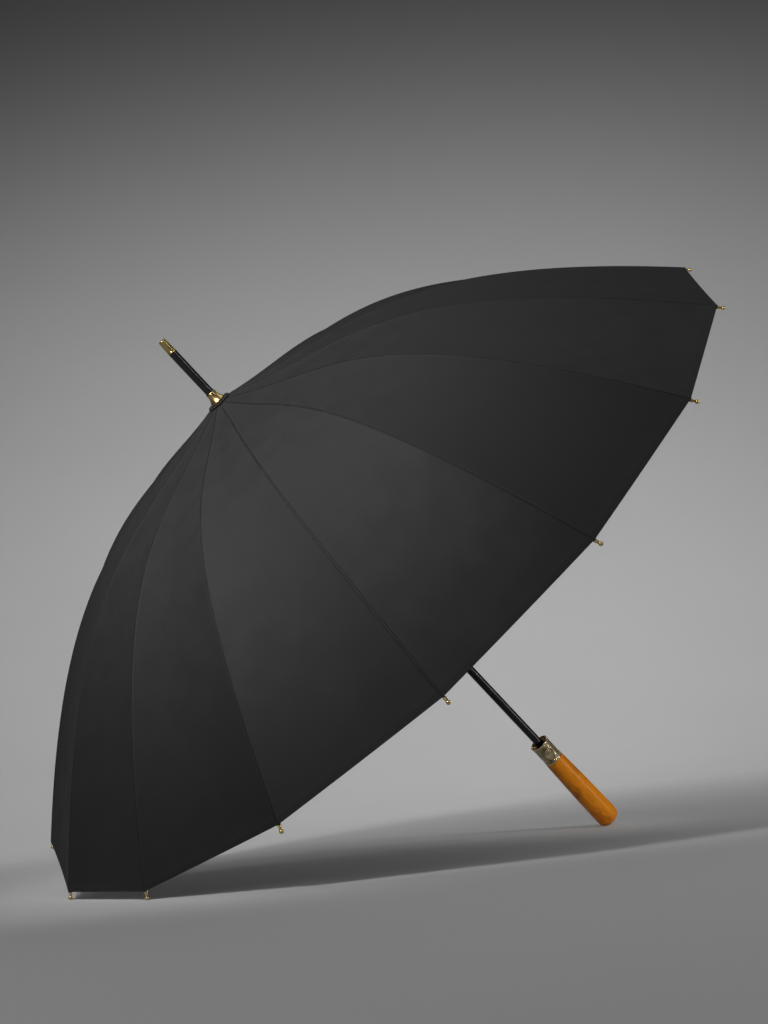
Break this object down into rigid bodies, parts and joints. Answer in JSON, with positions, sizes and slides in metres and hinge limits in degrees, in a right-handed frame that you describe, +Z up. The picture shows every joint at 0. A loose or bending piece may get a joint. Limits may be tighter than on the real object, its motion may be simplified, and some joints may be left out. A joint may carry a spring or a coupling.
{
  "type": "stick umbrella",
  "caption": "Straight stick umbrella, open, with a black panelled canopy, ribs, stretchers, sliding runner, brass collar with push button and a turned wooden grip.",
  "frame": {"origin": "the middle of the base of its box, on the floor that it lies on", "axes": "+Z up from the floor, +X towards the grip, and the shaft in the XZ plane; the open canopy rests on two rib tips at -X and the grip end rests at +X"},
  "size_m": [0.7814, 1.07, 0.7348],
  "materials": {
    "shaft_tube": "gloss black",
    "ferrule_cap": "polished",
    "crown_bell": "polished",
    "rosette": "matt black",
    "top_notch": "satin black",
    "collar": "antique, engraved",
    "handle_grip": "clear gloss varnish",
    "opening_spring": "oiled",
    "button_spring": "oiled",
    "runner": "satin black",
    "drive_pin": "plain",
    "rib_steel": "gloss black, brass tip",
    "canopy_cloth": "matt black, water-repellent",
    "stretcher_steel": "gloss black",
    "release_button": "antique"
  },
  "bodies": {
    "frame": {"shaft_tube": "shaft_tube", "ferrule_cap": "ferrule_cap", "crown_bell": "crown_bell", "rosette": "rosette", "top_notch": "top_notch", "collar": "collar", "handle_grip": "handle_grip", "opening_spring": "opening_spring", "button_spring": "button_spring"},
    "runner": {"runner": "runner", "drive_pin": "drive_pin"},
    "panel_01": {"rib_01": "rib_steel", "gore_01": "canopy_cloth"},
    "stay_01": {"stretcher_01": "stretcher_steel"},
    "panel_02": {"rib_02": "rib_steel", "gore_02": "canopy_cloth"},
    "stay_02": {"stretcher_02": "stretcher_steel"},
    "panel_03": {"rib_03": "rib_steel", "gore_03": "canopy_cloth"},
    "stay_03": {"stretcher_03": "stretcher_steel"},
    "panel_04": {"rib_04": "rib_steel", "gore_04": "canopy_cloth"},
    "stay_04": {"stretcher_04": "stretcher_steel"},
    "panel_05": {"rib_05": "rib_steel", "gore_05": "canopy_cloth"},
    "stay_05": {"stretcher_05": "stretcher_steel"},
    "panel_06": {"rib_06": "rib_steel", "gore_06": "canopy_cloth"},
    "stay_06": {"stretcher_06": "stretcher_steel"},
    "panel_07": {"rib_07": "rib_steel", "gore_07": "canopy_cloth"},
    "stay_07": {"stretcher_07": "stretcher_steel"},
    "panel_08": {"rib_08": "rib_steel", "gore_08": "canopy_cloth"},
    "stay_08": {"stretcher_08": "stretcher_steel"},
    "panel_09": {"rib_09": "rib_steel", "gore_09": "canopy_cloth"},
    "stay_09": {"stretcher_09": "stretcher_steel"},
    "panel_10": {"rib_10": "rib_steel", "gore_10": "canopy_cloth"},
    "stay_10": {"stretcher_10": "stretcher_steel"},
    "panel_11": {"rib_11": "rib_steel", "gore_11": "canopy_cloth"},
    "stay_11": {"stretcher_11": "stretcher_steel"},
    "panel_12": {"rib_12": "rib_steel", "gore_12": "canopy_cloth"},
    "stay_12": {"stretcher_12": "stretcher_steel"},
    "panel_13": {"rib_13": "rib_steel", "gore_13": "canopy_cloth"},
    "stay_13": {"stretcher_13": "stretcher_steel"},
    "panel_14": {"rib_14": "rib_steel", "gore_14": "canopy_cloth"},
    "stay_14": {"stretcher_14": "stretcher_steel"},
    "panel_15": {"rib_15": "rib_steel", "gore_15": "canopy_cloth"},
    "stay_15": {"stretcher_15": "stretcher_steel"},
    "panel_16": {"rib_16": "rib_steel", "gore_16": "canopy_cloth"},
    "stay_16": {"stretcher_16": "stretcher_steel"},
    "button": {"release_button": "release_button"}
  },
  "joints": [
    {"name": "runner_slide", "type": "slide", "parent": "frame", "child": "runner", "axis": [-0.6844, 0, 0.7291], "range_m": [-0.34315, 0], "stiffness_N_per_m": 80, "springref_m": 0.12, "deforming": ["opening_spring"]},
    {"name": "rib_fold_01", "type": "hinge", "parent": "frame", "child": "panel_01", "pos_m": [-0.1949, 0.00212, 0.55896], "axis": [-0.1422, -0.9808, -0.1335], "range_deg": [0, 62.01], "deforming": ["gore_01"]},
    {"name": "stay_fold_01", "type": "hinge", "parent": "panel_01", "child": "stay_01", "pos_m": [-0.3317, 0.05266, 0.33344], "axis": [0.1422, 0.9808, 0.1335], "range_deg": [0, 113.54]},
    {"name": "rib_fold_02", "type": "hinge", "parent": "frame", "child": "panel_02", "pos_m": [-0.1949, -0.00212, 0.55896], "axis": [0.1422, -0.9808, 0.1335], "range_deg": [0, 62.01], "deforming": ["gore_02"]},
    {"name": "stay_fold_02", "type": "hinge", "parent": "panel_02", "child": "stay_02", "pos_m": [-0.3317, -0.05266, 0.33344], "axis": [-0.1422, 0.9808, -0.1335], "range_deg": [0, 113.54]},
    {"name": "rib_fold_03", "type": "hinge", "parent": "frame", "child": "panel_03", "pos_m": [-0.19371, -0.00604, 0.56007], "axis": [0.4051, -0.8315, 0.3802], "range_deg": [0, 62.01], "deforming": ["gore_03"]},
    {"name": "stay_fold_03", "type": "hinge", "parent": "panel_03", "child": "stay_03", "pos_m": [-0.30231, -0.14997, 0.36102], "axis": [-0.4051, 0.8315, -0.3802], "range_deg": [0, 113.54]},
    {"name": "rib_fold_04", "type": "hinge", "parent": "frame", "child": "panel_04", "pos_m": [-0.19153, -0.00904, 0.56212], "axis": [0.6063, -0.5556, 0.569], "range_deg": [0, 62.01], "deforming": ["gore_04"]},
    {"name": "stay_fold_04", "type": "hinge", "parent": "panel_04", "child": "stay_04", "pos_m": [-0.24801, -0.22444, 0.41199], "axis": [-0.6063, 0.5556, -0.569], "range_deg": [0, 113.54]},
    {"name": "rib_fold_05", "type": "hinge", "parent": "frame", "child": "panel_05", "pos_m": [-0.18867, -0.01066, 0.5648], "axis": [0.7151, -0.1951, 0.6712], "range_deg": [0, 62.01], "deforming": ["gore_05"]},
    {"name": "stay_fold_05", "type": "hinge", "parent": "panel_05", "child": "stay_05", "pos_m": [-0.17706, -0.26474, 0.47858], "axis": [-0.7151, 0.1951, -0.6712], "range_deg": [0, 113.54]},
    {"name": "rib_fold_06", "type": "hinge", "parent": "frame", "child": "panel_06", "pos_m": [-0.18558, -0.01066, 0.5677], "axis": [0.7151, 0.1951, 0.6712], "range_deg": [0, 62.01], "deforming": ["gore_06"]},
    {"name": "stay_fold_06", "type": "hinge", "parent": "panel_06", "child": "stay_06", "pos_m": [-0.10026, -0.26474, 0.55066], "axis": [-0.7151, -0.1951, -0.6712], "range_deg": [0, 113.54]},
    {"name": "rib_fold_07", "type": "hinge", "parent": "frame", "child": "panel_07", "pos_m": [-0.18272, -0.00904, 0.57038], "axis": [0.6063, 0.5556, 0.569], "range_deg": [0, 62.01], "deforming": ["gore_07"]},
    {"name": "stay_fold_07", "type": "hinge", "parent": "panel_07", "child": "stay_07", "pos_m": [-0.02932, -0.22444, 0.61725], "axis": [-0.6063, -0.5556, -0.569], "range_deg": [0, 113.54]},
    {"name": "rib_fold_08", "type": "hinge", "parent": "frame", "child": "panel_08", "pos_m": [-0.18053, -0.00604, 0.57244], "axis": [0.4051, 0.8315, 0.3802], "range_deg": [0, 62.01], "deforming": ["gore_08"]},
    {"name": "stay_fold_08", "type": "hinge", "parent": "panel_08", "child": "stay_08", "pos_m": [0.02499, -0.14997, 0.66821], "axis": [-0.4051, -0.8315, -0.3802], "range_deg": [0, 113.54]},
    {"name": "rib_fold_09", "type": "hinge", "parent": "frame", "child": "panel_09", "pos_m": [-0.17935, -0.00212, 0.57355], "axis": [0.1422, 0.9808, 0.1335], "range_deg": [0, 62.01], "deforming": ["gore_09"]},
    {"name": "stay_fold_09", "type": "hinge", "parent": "panel_09", "child": "stay_09", "pos_m": [0.05438, -0.05266, 0.6958], "axis": [-0.1422, -0.9808, -0.1335], "range_deg": [0, 113.54]},
    {"name": "rib_fold_10", "type": "hinge", "parent": "frame", "child": "panel_10", "pos_m": [-0.17935, 0.00212, 0.57355], "axis": [-0.1422, 0.9808, -0.1335], "range_deg": [0, 62.01], "deforming": ["gore_10"]},
    {"name": "stay_fold_10", "type": "hinge", "parent": "panel_10", "child": "stay_10", "pos_m": [0.05438, 0.05266, 0.6958], "axis": [0.1422, -0.9808, 0.1335], "range_deg": [0, 113.54]},
    {"name": "rib_fold_11", "type": "hinge", "parent": "frame", "child": "panel_11", "pos_m": [-0.18053, 0.00604, 0.57244], "axis": [-0.4051, 0.8315, -0.3802], "range_deg": [0, 62.01], "deforming": ["gore_11"]},
    {"name": "stay_fold_11", "type": "hinge", "parent": "panel_11", "child": "stay_11", "pos_m": [0.02499, 0.14997, 0.66821], "axis": [0.4051, -0.8315, 0.3802], "range_deg": [0, 113.54]},
    {"name": "rib_fold_12", "type": "hinge", "parent": "frame", "child": "panel_12", "pos_m": [-0.18272, 0.00904, 0.57038], "axis": [-0.6063, 0.5556, -0.569], "range_deg": [0, 62.01], "deforming": ["gore_12"]},
    {"name": "stay_fold_12", "type": "hinge", "parent": "panel_12", "child": "stay_12", "pos_m": [-0.02932, 0.22444, 0.61725], "axis": [0.6063, -0.5556, 0.569], "range_deg": [0, 113.54]},
    {"name": "rib_fold_13", "type": "hinge", "parent": "frame", "child": "panel_13", "pos_m": [-0.18558, 0.01066, 0.5677], "axis": [-0.7151, 0.1951, -0.6712], "range_deg": [0, 62.01], "deforming": ["gore_13"]},
    {"name": "stay_fold_13", "type": "hinge", "parent": "panel_13", "child": "stay_13", "pos_m": [-0.10026, 0.26474, 0.55066], "axis": [0.7151, -0.1951, 0.6712], "range_deg": [0, 113.54]},
    {"name": "rib_fold_14", "type": "hinge", "parent": "frame", "child": "panel_14", "pos_m": [-0.18867, 0.01066, 0.5648], "axis": [-0.7151, -0.1951, -0.6712], "range_deg": [0, 62.01], "deforming": ["gore_14"]},
    {"name": "stay_fold_14", "type": "hinge", "parent": "panel_14", "child": "stay_14", "pos_m": [-0.17706, 0.26474, 0.47858], "axis": [0.7151, 0.1951, 0.6712], "range_deg": [0, 113.54]},
    {"name": "rib_fold_15", "type": "hinge", "parent": "frame", "child": "panel_15", "pos_m": [-0.19153, 0.00904, 0.56212], "axis": [-0.6063, -0.5556, -0.569], "range_deg": [0, 62.01], "deforming": ["gore_15"]},
    {"name": "stay_fold_15", "type": "hinge", "parent": "panel_15", "child": "stay_15", "pos_m": [-0.24801, 0.22444, 0.41199], "axis": [0.6063, 0.5556, 0.569], "range_deg": [0, 113.54]},
    {"name": "rib_fold_16", "type": "hinge", "parent": "frame", "child": "panel_16", "pos_m": [-0.19371, 0.00604, 0.56007], "axis": [-0.4051, -0.8315, -0.3802], "range_deg": [0, 62.01], "deforming": ["gore_16"]},
    {"name": "stay_fold_16", "type": "hinge", "parent": "panel_16", "child": "stay_16", "pos_m": [-0.30231, 0.14997, 0.36102], "axis": [0.4051, 0.8315, 0.3802], "range_deg": [0, 113.54]},
    {"name": "button_press", "type": "slide", "parent": "frame", "child": "button", "axis": [0.4077, 0.829, 0.3827], "range_m": [0, 0.002], "stiffness_N_per_m": 500, "springref_m": -0.001, "deforming": ["button_spring"]}
  ],
  "couplings": [
    {"joint": "rib_fold_01", "follows": "runner_slide", "rad_per_m": -3.1537},
    {"joint": "stay_fold_01", "follows": "runner_slide", "rad_per_m": -5.7746},
    {"joint": "rib_fold_02", "follows": "runner_slide", "rad_per_m": -3.1537},
    {"joint": "stay_fold_02", "follows": "runner_slide", "rad_per_m": -5.7746},
    {"joint": "rib_fold_03", "follows": "runner_slide", "rad_per_m": -3.1537},
    {"joint": "stay_fold_03", "follows": "runner_slide", "rad_per_m": -5.7746},
    {"joint": "rib_fold_04", "follows": "runner_slide", "rad_per_m": -3.1537},
    {"joint": "stay_fold_04", "follows": "runner_slide", "rad_per_m": -5.7746},
    {"joint": "rib_fold_05", "follows": "runner_slide", "rad_per_m": -3.1537},
    {"joint": "stay_fold_05", "follows": "runner_slide", "rad_per_m": -5.7746},
    {"joint": "rib_fold_06", "follows": "runner_slide", "rad_per_m": -3.1537},
    {"joint": "stay_fold_06", "follows": "runner_slide", "rad_per_m": -5.7746},
    {"joint": "rib_fold_07", "follows": "runner_slide", "rad_per_m": -3.1537},
    {"joint": "stay_fold_07", "follows": "runner_slide", "rad_per_m": -5.7746},
    {"joint": "rib_fold_08", "follows": "runner_slide", "rad_per_m": -3.1537},
    {"joint": "stay_fold_08", "follows": "runner_slide", "rad_per_m": -5.7746},
    {"joint": "rib_fold_09", "follows": "runner_slide", "rad_per_m": -3.1537},
    {"joint": "stay_fold_09", "follows": "runner_slide", "rad_per_m": -5.7746},
    {"joint": "rib_fold_10", "follows": "runner_slide", "rad_per_m": -3.1537},
    {"joint": "stay_fold_10", "follows": "runner_slide", "rad_per_m": -5.7746},
    {"joint": "rib_fold_11", "follows": "runner_slide", "rad_per_m": -3.1537},
    {"joint": "stay_fold_11", "follows": "runner_slide", "rad_per_m": -5.7746},
    {"joint": "rib_fold_12", "follows": "runner_slide", "rad_per_m": -3.1537},
    {"joint": "stay_fold_12", "follows": "runner_slide", "rad_per_m": -5.7746},
    {"joint": "rib_fold_13", "follows": "runner_slide", "rad_per_m": -3.1537},
    {"joint": "stay_fold_13", "follows": "runner_slide", "rad_per_m": -5.7746},
    {"joint": "rib_fold_14", "follows": "runner_slide", "rad_per_m": -3.1537},
    {"joint": "stay_fold_14", "follows": "runner_slide", "rad_per_m": -5.7746},
    {"joint": "rib_fold_15", "follows": "runner_slide", "rad_per_m": -3.1537},
    {"joint": "stay_fold_15", "follows": "runner_slide", "rad_per_m": -5.7746},
    {"joint": "rib_fold_16", "follows": "runner_slide", "rad_per_m": -3.1537},
    {"joint": "stay_fold_16", "follows": "runner_slide", "rad_per_m": -5.7746}
  ]
}
